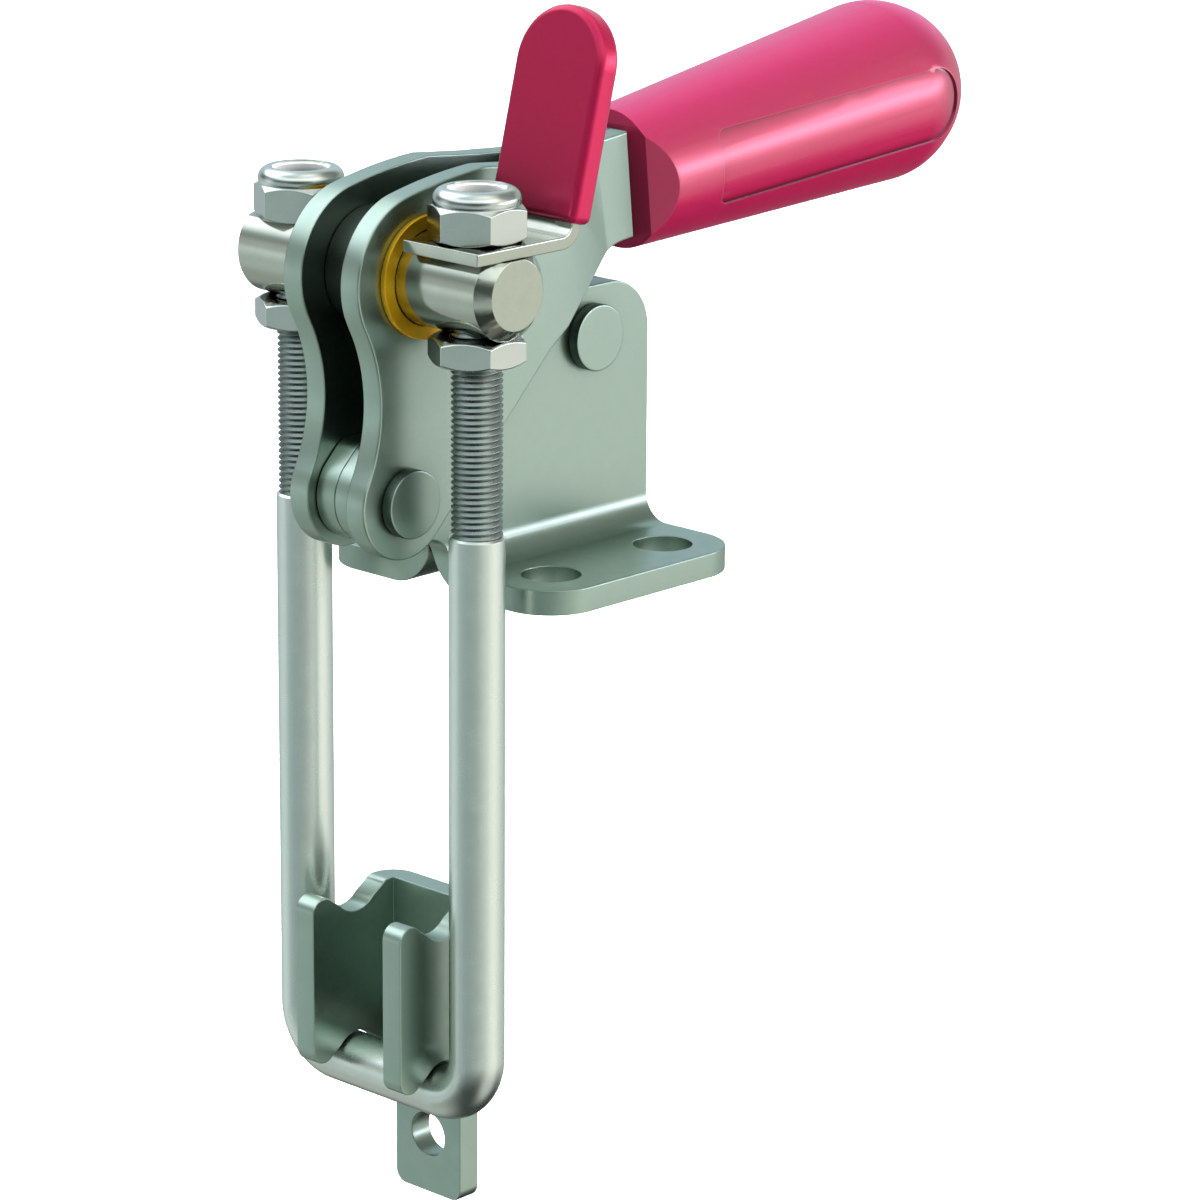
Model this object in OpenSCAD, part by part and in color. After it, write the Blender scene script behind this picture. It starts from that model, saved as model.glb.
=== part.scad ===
// Vertical-base toggle latch clamp with a threaded U-bolt, thumb lever and latch plate.
// Millimetres. X points to the grip, Y across the clamp, Z up from the mounting face.
// The origin is the centre of the four mounting holes on the underside of the flanges.

/* [Sheet metal] */
// Thickness of the base, handle and latch plates
plate_t = 3; // [2.5:0.1:3.4]
// Inside radius of the bend between a base wall and its flange
bend_r = 3.3; // [2:0.1:4]

/* [Base] */
// Length of the base flanges along X
base_len = 33.6; // [31:0.2:38]
// Distance of a flange's outer edge from the middle plane
flange_reach = 19.5; // [18:0.1:24]
// Corner radius of the flanges
flange_corner = 6.6; // [2:0.2:9]
// Mounting hole spacing along X
hole_dx = 19; // [16:0.5:21]
// Mounting hole spacing along Y
hole_dy = 24.8; // [23:0.2:28]
// Mounting hole diameter
hole_d = 7; // [5:0.1:8]
// Height of the base walls
wall_h = 33.1; // [31:0.1:36]
// Radius of the wall corner nearest the grip
wall_corner = 6.5; // [1:0.5:7]

/* [Rivets] */
// Handle pivot along X
pivot_x = -26.66; // [-27:0.1:-26]
// Handle pivot height
pivot_z = 13.5; // [13:0.1:14.5]
// Rear rivet along X
rear_x = 6.98; // [6:0.1:8]
// Rear rivet height
rear_z = 27; // [25:0.1:27]
// Rivet shank diameter
rivet_d = 6.5; // [4:0.1:7]
// Rivet head diameter
rivet_head_d = 8; // [7.5:0.1:9]
// Rivet head thickness
rivet_head_t = 1.5; // [1:0.1:2]

/* [Trunnion] */
// Trunnion axis along X
trunnion_x = -23.5; // [-24:0.1:-23]
// Trunnion axis height
trunnion_z = 39.3; // [38.5:0.1:40]
// Trunnion diameter
trunnion_d = 11; // [9:0.1:11.5]
// Trunnion half length
trunnion_half = 20.6; // [19.5:0.1:24]
// Height of the milled flats above the trunnion axis
flat_h = 3.9; // [3.5:0.1:4.5]

/* [U-bolt] */
// Rod diameter
rod_d = 6.5; // [6.2:0.1:7]
// Thread outside diameter
thread_d = 5.94; // [5:0.01:6]
// Distance between the two legs
leg_spacing = 28.5; // [28:0.1:32]
// Height of the crossbar axis, below the mounting face
crossbar_z = -57.95; // [-58.1:0.05:-57.8]
// Centreline radius of the two lower corners
rod_bend = 5.5; // [5:0.1:6.5]
// Height where the thread starts
thread_z = 10.6; // [0:0.1:25]
// Height of the leg ends
leg_top = 48.2; // [47.5:0.1:48.9]

/* [Grip] */
// Length of the grip
grip_len = 58.8; // [50:0.1:80]
// Slope of the grip and the handle tang
grip_tilt = 5.85; // [4:0.05:8]
// Depth of the label recess
recess_t = 0.5; // [0.2:0.1:1]

/* [Latch plate] */
// Height of the latch cheeks' upper edge, below the mounting face
latch_top = -36.45; // [-36.5:0.05:-36]
// Height of the latch cheeks' lower edge, below the mounting face
latch_bot = -57.1; // [-57.3:0.1:-57]
// Diameter of the hole in the latch tab
tab_hole_d = 5.5; // [4:0.1:6.5]

/* [Hidden] */
$fn = 64;

zinc = [0.66, 0.73, 0.68];
bright = [0.80, 0.80, 0.77];
brass_yellow = [1.0, 0.76, 0.05];
crimson = [0.72, 0.10, 0.20];

run_gap = 0.05;
side_gap = 0.1;
seat_gap = 0.05;

half_len = base_len / 2;
bend_out = bend_r + plate_t;
lobe_r = 5.5;
wall_saddle = 19.85;
shoulder_r = 3;
relief_r = 3;
relief_z = 4.05;
edge_gap = 0.25;
shank_r = rivet_d / 2;

// handle plate outline
head_x = -24;
head_z = 39;
head_r = 10.05;
foot_r = 6.75;
neck_r = 19;
peak_x = -13.8;
peak_z = 50.55;
valley_x = -1;
valley_z = 49.25;
tang_w = 13;
tang_x = 13.6;
tang_z = 44.3;
tang_end = 36;
edge_x = -2.9;
edge_z = 27.63;
edge_rise = 36.3;
knee_r = 7;
valley_r = 60;
crown_r = 70;
joggle_tilt = 10;
joggle_a = 5;
joggle_b = 16;
inner_y = plate_t + side_gap;
outer_y = inner_y + plate_t;

// trunnion fittings
bush_r = 6.5;
bush_flange_r = 7.15;
bush_flange_t = 0.75;
spacer_r = 7.03;
trunnion_r = trunnion_d / 2;
end_chamfer = 1.45;
flat_from = 8.3;
cross_hole_r = 3.2;
leg_y = leg_spacing / 2;

// nuts
hex_af = 10;
hex_r = hex_af / sqrt(3);
lock_h = 6;
lock_hex_h = 4.1;
collar_round = 1.35;
lip_r = 3.4;
insert_r = 3.9;
insert_lo = 4.4;
insert_hi = 5.7;
jam_h = 3.15;
thread_gap = 0.03;
flat_z = trunnion_z + flat_h;

// thumb lever
lever_t = 1.5;
lever_w = 11.8;
lever_front = -29.35;
lever_bend_x = -15.8;
lever_in = 1.5;
lever_lean = 14.3;
lever_up = 23.4;
cover_t = 3.25;
cover_w = 13.5;
cover_up = 24.3;
cover_round = 0.9;

// latch plate
latch_front = -30.6;
latch_back = -14.5;
latch_half = 8.8;
notch_r = 3.6;
notch_out = 0.85;
tab_half = 5.5;
tab_bot = -75.1;
tab_hole_z = -67.7;

// grip profile
grip_x = 13.3;
grip_z = 44.5;
grip_r = 8.48;
grip_cone = 3.48;
dome_len = 11.87;
dome_lean = 25;
face_half_y = 6;
face_half_z = 6.85;
face_lean = 15;
recess_from = 10.05;
recess_to = 51.95;
recess_half = 4.6;
recess_lean = 0.8;

// Point where the tangent from p touches the circle (c, r); side picks one of the two.
function touch(c, r, p, side) =
  let (d = norm(p - c), a = atan2(p[1] - c[1], p[0] - c[0]), b = acos(r / d))
  [c[0] + r * cos(a + side * b), c[1] + r * sin(a + side * b)];

// Crossing of two circles; side picks one of the two.
function meet(a, ra, b, rb, side) =
  let (d = norm(b - a), m = (d * d + ra * ra - rb * rb) / (2 * d), h = sqrt(ra * ra - m * m))
  a + m * (b - a) / d + side * h * [-(b - a)[1], (b - a)[0]] / d;

// Crossing of the line through p with slope angle a and the line through q with slope angle b.
function cross_at(p, a, q, b) =
  let (t = ((q[0] - p[0]) * sin(b) - (q[1] - p[1]) * cos(b)) / sin(b - a))
  [p[0] + t * cos(a), p[1] + t * sin(a)];

pivot = [pivot_x, pivot_z];
head = [head_x, head_z];
neck = meet(head, head_r + neck_r, pivot, foot_r + neck_r, -1);
edge_touch = touch(pivot, foot_r, [edge_x, edge_z], -1);
tang_low = [tang_x + tang_w / 2 * sin(grip_tilt), tang_z - tang_w / 2 * cos(grip_tilt)];
tang_high = [tang_x - tang_w / 2 * sin(grip_tilt), tang_z + tang_w / 2 * cos(grip_tilt)];
edge_mid = [edge_x, edge_z];
knee = cross_at(edge_mid, edge_rise, tang_low, grip_tilt);
tang_tip = [tang_end * cos(grip_tilt), tang_end * sin(grip_tilt)];
crown_from = [head_x - 2, head_z + 9.85];
peak = [peak_x, peak_z];
crown = meet(crown_from, crown_r, peak, crown_r, -1);
valley = [valley_x, valley_z];
wall_step = edge_mid + edge_gap * [sin(edge_rise), -cos(edge_rise)];
step_high = cross_at(wall_step, edge_rise, [0, wall_h], 0);
step_low = cross_at(wall_step, edge_rise, [0, wall_saddle], 0);
lobe_in = lobe_r - 0.003;
lobe_touch = pivot + lobe_in * [cos(135), sin(135)];
lobe_shoulder = cross_at(lobe_touch, 45, [0, wall_saddle], 0);
shoulder_run = shoulder_r / tan(67.5);
shoulder_mid = lobe_shoulder + shoulder_r / sin(67.5) * [cos(67.5), -sin(67.5)];
relief = [-half_len - relief_r, relief_z];
toe = relief + [0, relief_r];
toe_touch = touch(pivot, lobe_in, toe, -1);
toe_in = toe + 0.4 * (toe - toe_touch) / norm(toe - toe_touch);

// grip profile: two spheres on the axis joined by the cone that touches both
swell_t = grip_len - dome_len;
swell_r = (grip_r + swell_t * tan(grip_cone)) * cos(grip_cone);
cap_t = (grip_len - swell_r - swell_t * sin(dome_lean)) / (1 - sin(dome_lean));
cap_r = grip_len - cap_t;

// Lays a drawing made in X and Z upright and gives it a thickness from y0 to y1.
module upright(y0, y1) {
  translate([0, y1, 0])
    rotate([90, 0, 0])
      linear_extrude(y1 - y0) children();
}

// Rounds the inner corner at p between two edges that leave it at the angles a and b.
module fillet(p, a, b, r) {
  mid = (a + b) / 2;
  half = (b - a) / 2;
  run = r / tan(half);
  difference() {
    polygon([p - 0.5 * [cos(mid), sin(mid)], p + run * [cos(a), sin(a)], p + run * [cos(b), sin(b)]]);
    translate(p + r / sin(half) * [cos(mid), sin(mid)]) circle(r = r);
  }
}

module bar_y(x, z, r, y0, y1) {
  translate([x, y1, z])
    rotate([90, 0, 0])
      cylinder(r = r, h = y1 - y0);
}

// Base

module wall_outline() {
  difference() {
    union() {
      polygon([[relief[0], bend_out], [half_len, bend_out], [half_len, wall_h - wall_corner],
        [half_len - wall_corner, wall_h - wall_corner], [half_len - wall_corner, wall_h],
        step_high, step_low, lobe_shoulder + [shoulder_run, 0], shoulder_mid,
        lobe_shoulder - shoulder_run * [cos(45), sin(45)], lobe_touch, pivot, toe_touch, toe_in]);
      translate(shoulder_mid) circle(r = shoulder_r);
      translate([half_len - wall_corner, wall_h - wall_corner]) circle(r = wall_corner);
      translate(pivot) circle(r = lobe_r);
    }
    translate(pivot) circle(r = shank_r + seat_gap);
    translate([rear_x, rear_z]) circle(r = shank_r + seat_gap);
  }
}

module flange_outline() {
  difference() {
    union() {
      translate([-half_len, -flange_reach + flange_corner])
        square([base_len, flange_reach - flange_corner - bend_out]);
      translate([-half_len + flange_corner, -flange_reach])
        square([base_len - 2 * flange_corner, flange_corner]);
      for (s = [-1, 1])
        translate([s * (half_len - flange_corner), -flange_reach + flange_corner])
          circle(r = flange_corner);
    }
    for (s = [-1, 1])
      translate([s * hole_dx / 2, -hole_dy / 2]) circle(r = hole_d / 2);
  }
}

module base_bend() {
  run = base_len + relief_r;
  difference() {
    intersection() {
      translate([relief[0], -bend_out, 0]) cube([run, bend_out, bend_out]);
      translate([relief[0], -bend_out, bend_out])
        rotate([0, 90, 0]) cylinder(r = bend_out, h = run);
    }
    translate([relief[0] - 1, -bend_out, bend_out])
      rotate([0, 90, 0]) cylinder(r = bend_r, h = run + 2);
  }
}

// Round relief under the toe, where the wall runs on past the flange.
module relief_cut() {
  bar_y(relief[0], relief_z, relief_r, -bend_out - 1, 1);
  translate([relief[0] - 1, -bend_out - 1, -1]) cube([relief_r + 1, bend_out + 2, relief_z + 1]);
}

module base_plate() {
  difference() {
    union() {
      upright(-plate_t, 0) wall_outline();
      base_bend();
    }
    relief_cut();
  }
  linear_extrude(plate_t) flange_outline();
}

module base_plate_near() {
  color(zinc) base_plate();
}

module base_plate_far() {
  color(zinc) mirror([0, 1, 0]) base_plate();
}

module rivet(x, z, half) {
  bar_y(x, z, shank_r, -half, half);
  for (s = [-1, 1])
    translate([0, s * (half + rivet_head_t / 2), 0])
      bar_y(x, z, rivet_head_d / 2, -rivet_head_t / 2, rivet_head_t / 2);
}

module pivot_rivet() {
  color(zinc) rivet(pivot_x, pivot_z, outer_y + seat_gap);
}

module rear_rivet() {
  color(zinc) rivet(rear_x, rear_z, plate_t);
}

// Handle

module handle_outline() {
  difference() {
    union() {
      polygon([pivot, edge_touch, edge_mid, knee, tang_low + tang_tip, tang_high + tang_tip,
        valley, peak, crown_from, head, neck]);
      translate(head) circle(r = head_r);
      translate(pivot) circle(r = foot_r);
      intersection() {
        translate(crown) circle(r = crown_r);
        polygon([head, crown_from, crown_from + [0, 3], peak + [0, 3], peak]);
      }
      fillet(knee, 180 + edge_rise, 360 + grip_tilt, knee_r);
      fillet(valley, grip_tilt, 180 - atan2(peak_z - valley_z, valley_x - peak_x), valley_r);
    }
    translate(neck) circle(r = neck_r);
    translate(pivot) circle(r = shank_r + run_gap);
    translate([trunnion_x, trunnion_z]) circle(r = bush_r + seat_gap);
  }
}

// Seen from above: straight beside the base, then stepped inwards to meet the other plate.
module joggle_outline() {
  fold = plate_t * tan(atan((outer_y - plate_t) / (joggle_b - joggle_a)) / 2);
  polygon([[-60, -outer_y], [joggle_a, -outer_y], [joggle_b, -plate_t], [100, -plate_t],
    [100, 0], [joggle_b - fold, 0], [joggle_a - fold, -inner_y], [-60, -inner_y]]);
}

module handle_plate() {
  intersection() {
    upright(-outer_y - 1, 1) handle_outline();
    rotate([0, -joggle_tilt, 0])
      translate([0, 0, -60]) linear_extrude(180) joggle_outline();
  }
}

module handle_plate_near() {
  color(zinc) handle_plate();
}

module handle_plate_far() {
  color(zinc) mirror([0, 1, 0]) handle_plate();
}

// Revolved body of the grip, a slow cone with a round end, taken in by inset.
module grip_body(inset) {
  take = inset + 0.003;
  lean = [cos(dome_lean), sin(dome_lean)];
  cone_end = [0, swell_t] + (swell_r - take) * [cos(grip_cone), -sin(grip_cone)];
  lean_end = [0, cap_t] + (cap_r - take) * lean;
  rotate_extrude() {
    polygon([[0, 0], [grip_r - inset / cos(grip_cone), 0], cone_end,
      [0, swell_t] + (swell_r - take) * lean, lean_end, [0, lean_end[1]]]);
    intersection() {
      translate([0, swell_t - 15]) square([20, 40]);
      translate([0, swell_t]) circle(r = swell_r - inset);
    }
    intersection() {
      translate([0, cap_t - 15]) square([20, 40]);
      translate([0, cap_t]) circle(r = cap_r - inset);
    }
  }
}

// Puts a drawing made along Z onto the grip axis; its X becomes the direction down.
module on_grip_axis() {
  translate([grip_x, 0, grip_z])
    rotate([0, 90 - grip_tilt, 0]) children();
}

module end_bevels() {
  for (s = [-1, 1]) {
    translate([0, s * face_half_y, 0])
      rotate([s * -45, 0, 0]) translate([-20, s > 0 ? 0 : -20, -30]) cube([40, 20, 60]);
    translate([s * face_half_z, 0, 0])
      rotate([0, s * (90 - face_lean), 0]) translate([s > 0 ? 0 : -20, -20, -30]) cube([20, 40, 60]);
  }
}

module recess_shape() {
  translate([0, -20, recess_from]) rotate([0, recess_lean, 0]) translate([0, 0, -recess_from])
    rotate([-90, 0, 0]) linear_extrude(20) {
      translate([0, -(recess_to - recess_half)]) circle(r = recess_half);
      translate([-recess_half, -(recess_to - recess_half)])
        square([2 * recess_half, recess_to - recess_half - recess_from - 1.5]);
      translate([-recess_half + 1.5, -recess_from - 1.5]) square([2 * recess_half - 3, 1.5]);
      for (s = [-1, 1])
        translate([s * (recess_half - 1.5), -recess_from - 1.5]) circle(r = 1.5);
    }
}

module grip() {
  color(crimson) difference() {
    on_grip_axis() difference() {
      grip_body(0);
      end_bevels();
      difference() {
        recess_shape();
        grip_body(recess_t);
      }
    }
    translate([tang_x, 0, tang_z])
      rotate([0, -grip_tilt, 0])
        translate([-10, -plate_t, -tang_w / 2]) cube([tang_end + 10, 2 * plate_t, tang_w]);
  }
}

// Trunnion

module trunnion() {
  color(bright) difference() {
    union() {
      bar_y(trunnion_x, trunnion_z, trunnion_r, -trunnion_half + end_chamfer,
        trunnion_half - end_chamfer);
      for (s = [-1, 1])
        translate([trunnion_x, s * (trunnion_half - end_chamfer), trunnion_z])
          rotate([-s * 90, 0, 0])
            cylinder(r1 = trunnion_r, r2 = trunnion_r - end_chamfer, h = end_chamfer);
    }
    for (s = [-1, 1]) {
      translate([trunnion_x, s * leg_y, trunnion_z - 10]) cylinder(r = cross_hole_r, h = 20);
      translate([trunnion_x - 10, s > 0 ? flat_from : -flat_from - 20, flat_z]) cube([20, 20, 10]);
    }
  }
}

module trunnion_bush() {
  difference() {
    union() {
      bar_y(trunnion_x, trunnion_z, bush_r, -outer_y, -inner_y);
      bar_y(trunnion_x, trunnion_z, bush_flange_r, -outer_y - bush_flange_t, -outer_y);
    }
    bar_y(trunnion_x, trunnion_z, trunnion_r + run_gap, -outer_y - 2, 0);
  }
}

module trunnion_bush_near() {
  color(brass_yellow) trunnion_bush();
}

module trunnion_bush_far() {
  color(brass_yellow) mirror([0, 1, 0]) trunnion_bush();
}

module trunnion_spacer() {
  color(bright) difference() {
    bar_y(trunnion_x, trunnion_z, spacer_r, -plate_t, plate_t);
    bar_y(trunnion_x, trunnion_z, trunnion_r + seat_gap, -plate_t - 1, plate_t + 1);
  }
}

// U-bolt and its nuts

module u_bolt() {
  corner_z = crossbar_z + rod_bend;
  step = (rod_d - thread_d) / 2;
  color(bright) translate([trunnion_x, 0, 0]) {
    for (s = [-1, 1]) {
      translate([0, s * leg_y, corner_z]) cylinder(r = rod_d / 2, h = thread_z - step - corner_z);
      translate([0, s * leg_y, thread_z - step])
        cylinder(r1 = rod_d / 2, r2 = thread_d / 2, h = step);
      translate([0, s * leg_y, thread_z - 1]) cylinder(r = thread_d / 2, h = leg_top - thread_z + 0.5);
      translate([0, s * leg_y, leg_top - 0.5])
        cylinder(r1 = thread_d / 2, r2 = thread_d / 2 - 0.5, h = 0.5);
      translate([0, s * (leg_y - rod_bend), corner_z])
        rotate([90, 0, s > 0 ? 90 : 270])
          intersection() {
            rotate_extrude() translate([rod_bend, 0]) circle(r = rod_d / 2);
            translate([0, -20, -10]) cube([20, 20, 20]);
          }
    }
    translate([0, leg_y - rod_bend, crossbar_z])
      rotate([90, 0, 0]) cylinder(r = rod_d / 2, h = leg_spacing - 2 * rod_bend);
  }
}

// Hexagon with corners on the X axis and both rims taken back at 30 degrees.
module hexagon(h) {
  rim = hex_af / 2 - 0.15;
  cut = (hex_r - rim) * tan(30);
  intersection() {
    cylinder(r = hex_r, h = h, $fn = 6);
    rotate_extrude()
      polygon([[0, 0], [rim, 0], [hex_r, cut], [hex_r + 1, cut], [hex_r + 1, h - cut],
        [hex_r, h - cut], [rim, h], [0, h]]);
  }
}

module lock_nut() {
  difference() {
    union() {
      hexagon(lock_hex_h);
      translate([0, 0, lock_hex_h - 0.2])
        cylinder(r1 = hex_af / 2 - 0.35, r2 = hex_af / 2, h = lock_h - collar_round - lock_hex_h + 0.2);
      rotate_extrude() {
        translate([hex_af / 2 - collar_round, lock_h - collar_round]) circle(r = collar_round);
        translate([lip_r - 0.2, lock_h - 1.5]) square([hex_af / 2 - collar_round - lip_r + 0.2, 1.5]);
      }
    }
    translate([0, 0, -1]) cylinder(r = thread_d / 2 + thread_gap, h = 10);
    translate([0, 0, insert_lo]) cylinder(r = insert_r, h = insert_hi - insert_lo);
    translate([0, 0, insert_lo]) cylinder(r = lip_r, h = 5);
  }
}

module nut_insert() {
  translate([0, 0, insert_lo]) difference() {
    cylinder(r = insert_r, h = insert_hi - insert_lo);
    translate([0, 0, -1]) cylinder(r = thread_d / 2 + thread_gap, h = 5);
  }
}

module jam_nut() {
  difference() {
    hexagon(jam_h);
    translate([0, 0, -1]) cylinder(r = thread_d / 2 + thread_gap, h = 10);
  }
}

module lock_nut_near() {
  color(bright) translate([trunnion_x, -leg_y, flat_z + lever_t]) lock_nut();
}

module lock_nut_far() {
  color(bright) translate([trunnion_x, leg_y, flat_z]) lock_nut();
}

module nut_insert_near() {
  color([0.95, 0.94, 0.9]) translate([trunnion_x, -leg_y, flat_z + lever_t]) nut_insert();
}

module nut_insert_far() {
  color([0.95, 0.94, 0.9]) translate([trunnion_x, leg_y, flat_z]) nut_insert();
}

module jam_nut_near() {
  color(bright) translate([trunnion_x, -leg_y, trunnion_z - trunnion_r - jam_h]) jam_nut();
}

module jam_nut_far() {
  color(bright) translate([trunnion_x, leg_y, trunnion_z - trunnion_r - jam_h]) jam_nut();
}

// Thumb lever

// Puts a drawing into the frame of the leaning blade: X is its thickness, Z runs up the blade.
module on_blade() {
  translate([lever_bend_x, -leg_y, flat_z + lever_t + lever_in])
    rotate([0, lever_lean, 0]) children();
}

// Blade outline in Y and Z with a full round end, from x0 to x1 of its thickness.
module blade(x0, x1, w, z0, z1) {
  translate([x0, 0, 0]) rotate([90, 0, 90]) linear_extrude(x1 - x0) {
    translate([-w / 2, z0]) square([w, z1 - w / 2 - z0]);
    translate([0, z1 - w / 2]) circle(r = w / 2);
  }
}

module lever_profile() {
  rise = flat_z + lever_t + lever_in;
  out = lever_in + lever_t;
  turn = 90 - lever_lean;
  translate([lever_front, flat_z]) square([lever_bend_x - lever_front + 0.01, lever_t]);
  translate([lever_bend_x, rise]) {
    difference() {
      circle(r = out);
      circle(r = lever_in);
      translate([-10, -10]) square([10, 20]);
      rotate(turn - 90) translate([-10, 0]) square([20, 10]);
    }
    rotate(-lever_lean) translate([lever_in, -0.01]) square([lever_t, lever_up]);
  }
}

module thumb_lever() {
  color(bright) difference() {
    intersection() {
      upright(-leg_y - 10, -leg_y + 10) lever_profile();
      on_blade() blade(-30, 30, lever_w, -40, lever_up);
    }
    translate([trunnion_x, -leg_y, flat_z - 1]) cylinder(r = cross_hole_r, h = 4);
  }
}

module thumb_cover() {
  mid = lever_in + lever_t / 2;
  color(crimson) on_blade() difference() {
    union() {
      blade(mid - cover_t / 2, mid - cover_t / 2 + cover_round, cover_w - 1.2, 0.2, cover_up - 0.6);
      blade(mid - cover_t / 2 + cover_round * 0.6, mid + cover_t / 2, cover_w, 0.2, cover_up);
    }
    blade(lever_in, lever_in + lever_t, lever_w, -1, lever_up);
  }
}

// Latch plate

module cheek_end() {
  r = 1.75;
  a = [latch_front + r, latch_top - r];
  b = [-18.1, latch_top - 1.5];
  n = [trunnion_x, latch_top + notch_out];
  difference() {
    union() {
      translate(a) circle(r = r);
      translate(b) circle(r = 1.5);
      polygon([[latch_front, a[1]], a, a + r * [cos(40), sin(40)], n + notch_r * [cos(222), sin(222)],
        n, n + notch_r * [cos(-42), sin(-42)],
        b + 1.5 * [cos(140), sin(140)], b, [b[0], latch_top], [latch_back, latch_top],
        [latch_back, latch_top - 11], [latch_front, latch_top - 11]]);
    }
    translate(n) circle(r = notch_r);
  }
}

module latch_outline() {
  mid = (latch_top + latch_bot) / 2;
  cheek_end();
  translate([0, 2 * mid]) mirror([0, 1]) cheek_end();
}

module latch_channel() {
  corner = 3.3;
  difference() {
    union() {
      translate([latch_front, -latch_half]) square([latch_back - latch_front - corner, 2 * latch_half]);
      translate([latch_front, -latch_half + corner])
        square([latch_back - latch_front, 2 * latch_half - 2 * corner]);
      for (s = [-1, 1])
        translate([latch_back - corner, s * (latch_half - corner)]) circle(r = corner);
    }
    translate([latch_front - 1, -latch_half + plate_t])
      square([latch_back - plate_t - latch_front + 1, 2 * (latch_half - plate_t)]);
  }
}

module latch_tab() {
  translate([latch_back - plate_t, 0, 0]) rotate([90, 0, 90]) linear_extrude(plate_t)
    difference() {
      union() {
        translate([-tab_half, tab_bot + 1.6]) square([2 * tab_half, latch_bot - tab_bot]);
        translate([-tab_half + 1.6, tab_bot]) square([2 * tab_half - 3.2, 3]);
        for (s = [-1, 1])
          translate([s * (tab_half - 1.6), tab_bot + 1.6]) circle(r = 1.6);
      }
      translate([0, tab_hole_z]) circle(r = tab_hole_d / 2);
    }
}

module latch_plate() {
  color(zinc) {
    intersection() {
      upright(-20, 20) latch_outline();
      translate([0, 0, latch_bot - 1])
        linear_extrude(latch_top - latch_bot + 2) latch_channel();
    }
    latch_tab();
  }
}

base_plate_near();
base_plate_far();
pivot_rivet();
rear_rivet();
handle_plate_near();
handle_plate_far();
grip();
trunnion();
trunnion_bush_near();
trunnion_bush_far();
trunnion_spacer();
u_bolt();
lock_nut_near();
lock_nut_far();
nut_insert_near();
nut_insert_far();
jam_nut_near();
jam_nut_far();
thumb_lever();
thumb_cover();
latch_plate();
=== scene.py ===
"""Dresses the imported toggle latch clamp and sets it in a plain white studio.

The clamp's and the camera's lengths are written in millimetres and turned into metres by mm().
The floor, the tent and the lamps are written in metres.
"""

import logging
import math
from collections.abc import Callable, Sequence
from dataclasses import dataclass, field
from enum import Enum
from functools import cache

import bpy
from mathutils import Matrix, Vector


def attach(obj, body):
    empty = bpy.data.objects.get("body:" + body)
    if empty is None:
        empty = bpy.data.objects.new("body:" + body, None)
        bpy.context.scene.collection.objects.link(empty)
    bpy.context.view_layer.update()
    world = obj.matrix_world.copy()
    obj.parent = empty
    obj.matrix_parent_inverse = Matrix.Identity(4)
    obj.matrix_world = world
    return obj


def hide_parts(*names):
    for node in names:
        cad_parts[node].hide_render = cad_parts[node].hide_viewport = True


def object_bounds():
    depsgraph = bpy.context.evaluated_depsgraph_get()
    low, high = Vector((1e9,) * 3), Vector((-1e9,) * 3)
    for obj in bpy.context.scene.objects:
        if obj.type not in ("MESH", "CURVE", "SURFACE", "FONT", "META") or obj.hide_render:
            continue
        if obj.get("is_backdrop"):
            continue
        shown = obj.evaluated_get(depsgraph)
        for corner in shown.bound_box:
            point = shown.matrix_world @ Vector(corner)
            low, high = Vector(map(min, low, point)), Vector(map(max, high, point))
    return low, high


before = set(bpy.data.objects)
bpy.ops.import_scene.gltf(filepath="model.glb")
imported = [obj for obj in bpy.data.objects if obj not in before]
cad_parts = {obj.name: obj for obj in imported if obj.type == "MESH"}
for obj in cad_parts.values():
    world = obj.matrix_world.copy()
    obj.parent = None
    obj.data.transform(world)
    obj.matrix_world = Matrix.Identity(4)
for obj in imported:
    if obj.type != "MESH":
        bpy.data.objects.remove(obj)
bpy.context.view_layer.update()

LOG = logging.getLogger("clamp")
Colour = tuple[float, float, float]
Point = tuple[float, float, float]
Socket = bpy.types.NodeSocket

UP: Point = (0.0, 0.0, 1.0)
ACROSS: Point = (0.0, 1.0, 0.0)
BLACK: Colour = (0.0, 0.0, 0.0)
WHITE: Colour = (1.0, 1.0, 1.0)


def mm(*values: float) -> float | Vector:
    """Turns millimetres into metres.

    Args:
        values: One length, or the three parts of a point.

    Returns:
        The length in metres, or the point as a vector in metres.
    """
    if len(values) == 1:
        return values[0] * 0.001
    return Vector(values) * 0.001


# ---------------------------------------------------------------- modelling

CUT_TOLERANCE = 0.0005  # how near a cut, in millimetres, a point counts as on it
NODE_GAP = 0.003  # the distance, in millimetres, under which two points of a node are one
NODE_FLATNESS = 0.6  # the angle, in degrees, under which two faces of a node are one
LARGE_FACE_WEIGHT = 80  # how much more a large face counts than a small one, from 1 to 100
FACING = 0.9  # the share of a normal along an axis from which its face faces that way


def leave_edit_mode() -> None:
    """Goes back to object mode with nothing selected."""
    if bpy.context.mode != "OBJECT":
        bpy.ops.object.mode_set(mode="OBJECT")
    bpy.ops.object.select_all(action="DESELECT")


def take(piece: bpy.types.Object) -> None:
    """Selects one object alone and makes it active.

    Args:
        piece: The object to work on.
    """
    leave_edit_mode()
    piece.select_set(True)
    bpy.context.view_layer.objects.active = piece


def edit(piece: bpy.types.Object, action: str = "SELECT") -> None:
    """Opens an object in edit mode, to work on its points.

    Args:
        piece: The object to open.
        action: SELECT to start with all of it selected, or DESELECT with nothing.
    """
    take(piece)
    bpy.ops.object.mode_set(mode="EDIT")
    bpy.ops.mesh.select_mode(type="VERT")
    bpy.ops.mesh.select_all(action=action)


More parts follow.
